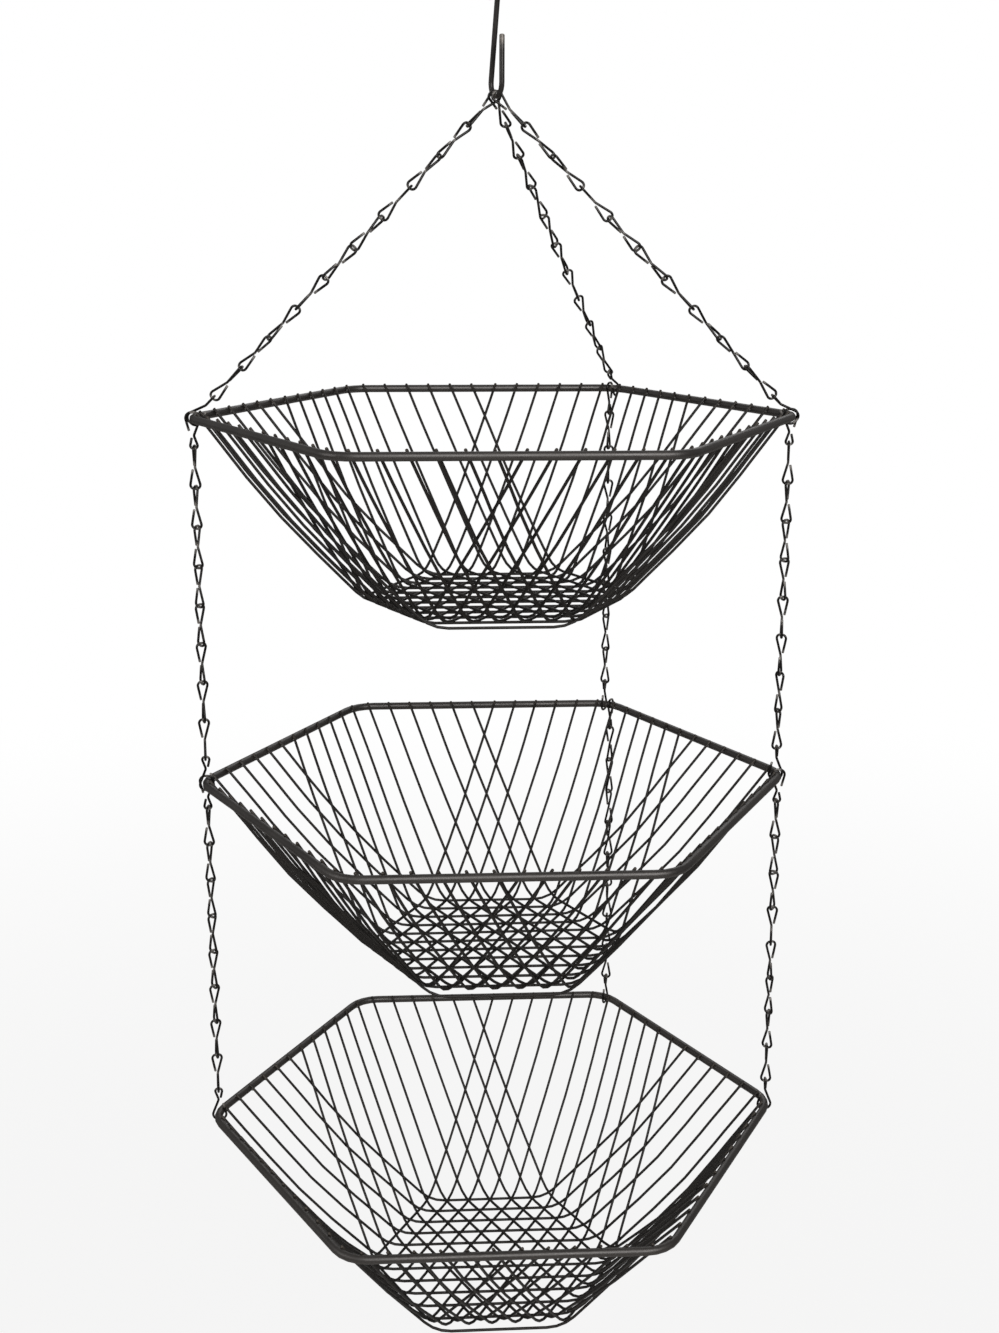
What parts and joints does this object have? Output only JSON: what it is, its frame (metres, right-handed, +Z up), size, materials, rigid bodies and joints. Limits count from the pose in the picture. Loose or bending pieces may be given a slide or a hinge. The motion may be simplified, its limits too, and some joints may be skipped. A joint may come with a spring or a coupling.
{
  "type": "hanging fruit basket",
  "caption": "Tiered hanging basket: hexagonal bowls of welded wire hang one below the other on link chains from an S-hook.",
  "frame": {"origin": "inside top of the S-hook's upper bend, the point that bears on the ceiling eye", "axes": "+Z up; +X through the baskets' left and right corners, to the right seen from the front; -Y is the front"},
  "size_m": [0.309, 0.2693, 0.7064],
  "materials": {
    "basket_paint": "satin",
    "chain_metal": "gloss",
    "hook_metal": "satin"
  },
  "bodies": {
    "s_hook": {"s_hook": "hook_metal"},
    "top_tier": {"top_left_chain": "chain_metal", "top_left_lower_hook": "chain_metal", "top_right_chain": "chain_metal", "top_right_lower_hook": "chain_metal", "top_rear_chain": "chain_metal", "top_rear_lower_hook": "chain_metal", "top_basket_rim": "basket_paint", "top_basket_cross_wires": "basket_paint", "top_basket_right_slant_wires": "basket_paint", "top_basket_left_slant_wires": "basket_paint"},
    "middle_left_upper_hook": {"middle_left_upper_hook": "chain_metal"},
    "middle_left_chain": {"middle_left_chain": "chain_metal"},
    "middle_left_lower_hook": {"middle_left_lower_hook": "chain_metal"},
    "middle_right_upper_hook": {"middle_right_upper_hook": "chain_metal"},
    "middle_right_chain": {"middle_right_chain": "chain_metal"},
    "middle_right_lower_hook": {"middle_right_lower_hook": "chain_metal"},
    "middle_rear_upper_hook": {"middle_rear_upper_hook": "chain_metal"},
    "middle_rear_chain": {"middle_rear_chain": "chain_metal"},
    "middle_rear_lower_hook": {"middle_rear_lower_hook": "chain_metal"},
    "middle_basket": {"middle_basket_rim": "basket_paint", "middle_basket_cross_wires": "basket_paint", "middle_basket_right_slant_wires": "basket_paint", "middle_basket_left_slant_wires": "basket_paint"},
    "bottom_left_upper_hook": {"bottom_left_upper_hook": "chain_metal"},
    "bottom_left_chain": {"bottom_left_chain": "chain_metal"},
    "bottom_left_lower_hook": {"bottom_left_lower_hook": "chain_metal"},
    "bottom_right_upper_hook": {"bottom_right_upper_hook": "chain_metal"},
    "bottom_right_chain": {"bottom_right_chain": "chain_metal"},
    "bottom_right_lower_hook": {"bottom_right_lower_hook": "chain_metal"},
    "bottom_rear_upper_hook": {"bottom_rear_upper_hook": "chain_metal"},
    "bottom_rear_chain": {"bottom_rear_chain": "chain_metal"},
    "bottom_rear_lower_hook": {"bottom_rear_lower_hook": "chain_metal"},
    "bottom_basket": {"bottom_basket_rim": "basket_paint", "bottom_basket_cross_wires": "basket_paint", "bottom_basket_right_slant_wires": "basket_paint", "bottom_basket_left_slant_wires": "basket_paint"}
  },
  "joints": [
    {"name": "top_tier_side_swing", "type": "hinge", "parent": "s_hook", "child": "top_tier", "pos_m": [0, 0, -0.0721], "axis": [0.342, -0.9397, 0], "range_deg": [-10, 10]},
    {"name": "middle_left_upper_hook_swing", "type": "hinge", "parent": "top_tier", "child": "middle_left_upper_hook", "pos_m": [-0.15, -0.002, -0.22731], "axis": [1, 0, 0], "range_deg": [-12, 12]},
    {"name": "middle_left_chain_side_swing", "type": "hinge", "parent": "middle_left_upper_hook", "child": "middle_left_chain", "pos_m": [-0.15, -0.002, -0.24226], "axis": [0, 1, 0], "range_deg": [-12, 12]},
    {"name": "middle_left_lower_hook_level", "type": "hinge", "parent": "middle_left_chain", "child": "middle_left_lower_hook", "pos_m": [-0.15, -0.002, -0.40466], "axis": [0, 1, 0], "range_deg": [-12, 12]},
    {"name": "middle_right_upper_hook_swing", "type": "hinge", "parent": "top_tier", "child": "middle_right_upper_hook", "pos_m": [0.15, 0.002, -0.22731], "axis": [1, 0, 0], "range_deg": [-12, 12]},
    {"name": "middle_right_chain_side_swing", "type": "hinge", "parent": "middle_right_upper_hook", "child": "middle_right_chain", "pos_m": [0.15, 0.002, -0.24226], "axis": [0, 1, 0], "range_deg": [-12, 12]},
    {"name": "middle_right_lower_hook_level", "type": "hinge", "parent": "middle_right_chain", "child": "middle_right_lower_hook", "pos_m": [0.15, 0.002, -0.40466], "axis": [0, 1, 0], "range_deg": [-12, 12]},
    {"name": "middle_rear_upper_hook_swing", "type": "hinge", "parent": "top_tier", "child": "middle_rear_upper_hook", "pos_m": [0.07327, 0.1309, -0.22731], "axis": [1, 0, 0], "range_deg": [-12, 12]},
    {"name": "middle_rear_chain_side_swing", "type": "hinge", "parent": "middle_rear_upper_hook", "child": "middle_rear_chain", "pos_m": [0.07327, 0.1309, -0.24226], "axis": [0, 1, 0], "range_deg": [-12, 12]},
    {"name": "middle_rear_lower_hook_level", "type": "hinge", "parent": "middle_rear_chain", "child": "middle_rear_lower_hook", "pos_m": [0.07327, 0.1309, -0.40466], "axis": [0, 1, 0], "range_deg": [-12, 12]},
    {"name": "middle_basket_level", "type": "hinge", "parent": "middle_left_lower_hook", "child": "middle_basket", "pos_m": [-0.15, -0.002, -0.41816], "axis": [1, 0, 0], "range_deg": [-12, 12]},
    {"name": "bottom_left_upper_hook_swing", "type": "hinge", "parent": "middle_basket", "child": "bottom_left_upper_hook", "pos_m": [-0.15, 0.002, -0.41816], "axis": [1, 0, 0], "range_deg": [-12, 12]},
    {"name": "bottom_left_chain_side_swing", "type": "hinge", "parent": "bottom_left_upper_hook", "child": "bottom_left_chain", "pos_m": [-0.15, 0.002, -0.43311], "axis": [0, 1, 0], "range_deg": [-12, 12]},
    {"name": "bottom_left_lower_hook_level", "type": "hinge", "parent": "bottom_left_chain", "child": "bottom_left_lower_hook", "pos_m": [-0.15, 0.002, -0.59551], "axis": [0, 1, 0], "range_deg": [-12, 12]},
    {"name": "bottom_right_upper_hook_swing", "type": "hinge", "parent": "middle_basket", "child": "bottom_right_upper_hook", "pos_m": [0.15, -0.002, -0.41816], "axis": [1, 0, 0], "range_deg": [-12, 12]},
    {"name": "bottom_right_chain_side_swing", "type": "hinge", "parent": "bottom_right_upper_hook", "child": "bottom_right_chain", "pos_m": [0.15, -0.002, -0.43311], "axis": [0, 1, 0], "range_deg": [-12, 12]},
    {"name": "bottom_right_lower_hook_level", "type": "hinge", "parent": "bottom_right_chain", "child": "bottom_right_lower_hook", "pos_m": [0.15, -0.002, -0.59551], "axis": [0, 1, 0], "range_deg": [-12, 12]},
    {"name": "bottom_rear_upper_hook_swing", "type": "hinge", "parent": "middle_basket", "child": "bottom_rear_upper_hook", "pos_m": [0.07673, 0.1289, -0.41816], "axis": [1, 0, 0], "range_deg": [-12, 12]},
    {"name": "bottom_rear_chain_side_swing", "type": "hinge", "parent": "bottom_rear_upper_hook", "child": "bottom_rear_chain", "pos_m": [0.07673, 0.1289, -0.43311], "axis": [0, 1, 0], "range_deg": [-12, 12]},
    {"name": "bottom_rear_lower_hook_level", "type": "hinge", "parent": "bottom_rear_chain", "child": "bottom_rear_lower_hook", "pos_m": [0.07673, 0.1289, -0.59551], "axis": [0, 1, 0], "range_deg": [-12, 12]},
    {"name": "bottom_basket_level", "type": "hinge", "parent": "bottom_left_lower_hook", "child": "bottom_basket", "pos_m": [-0.15, 0.002, -0.60901], "axis": [1, 0, 0], "range_deg": [-12, 12]}
  ],
  "couplings": [
    {"joint": "middle_left_lower_hook_level", "follows": "middle_left_chain_side_swing", "ratio": -1},
    {"joint": "middle_right_upper_hook_swing", "follows": "middle_left_upper_hook_swing", "ratio": 1},
    {"joint": "middle_right_chain_side_swing", "follows": "middle_left_chain_side_swing", "ratio": 1},
    {"joint": "middle_right_lower_hook_level", "follows": "middle_left_chain_side_swing", "ratio": -1},
    {"joint": "middle_rear_upper_hook_swing", "follows": "middle_left_upper_hook_swing", "ratio": 1},
    {"joint": "middle_rear_chain_side_swing", "follows": "middle_left_chain_side_swing", "ratio": 1},
    {"joint": "middle_rear_lower_hook_level", "follows": "middle_left_chain_side_swing", "ratio": -1},
    {"joint": "middle_basket_level", "follows": "middle_left_upper_hook_swing", "ratio": -1},
    {"joint": "bottom_left_lower_hook_level", "follows": "bottom_left_chain_side_swing", "ratio": -1},
    {"joint": "bottom_right_upper_hook_swing", "follows": "bottom_left_upper_hook_swing", "ratio": 1},
    {"joint": "bottom_right_chain_side_swing", "follows": "bottom_left_chain_side_swing", "ratio": 1},
    {"joint": "bottom_right_lower_hook_level", "follows": "bottom_left_chain_side_swing", "ratio": -1},
    {"joint": "bottom_rear_upper_hook_swing", "follows": "bottom_left_upper_hook_swing", "ratio": 1},
    {"joint": "bottom_rear_chain_side_swing", "follows": "bottom_left_chain_side_swing", "ratio": 1},
    {"joint": "bottom_rear_lower_hook_level", "follows": "bottom_left_chain_side_swing", "ratio": -1},
    {"joint": "bottom_basket_level", "follows": "bottom_left_upper_hook_swing", "ratio": -1}
  ]
}
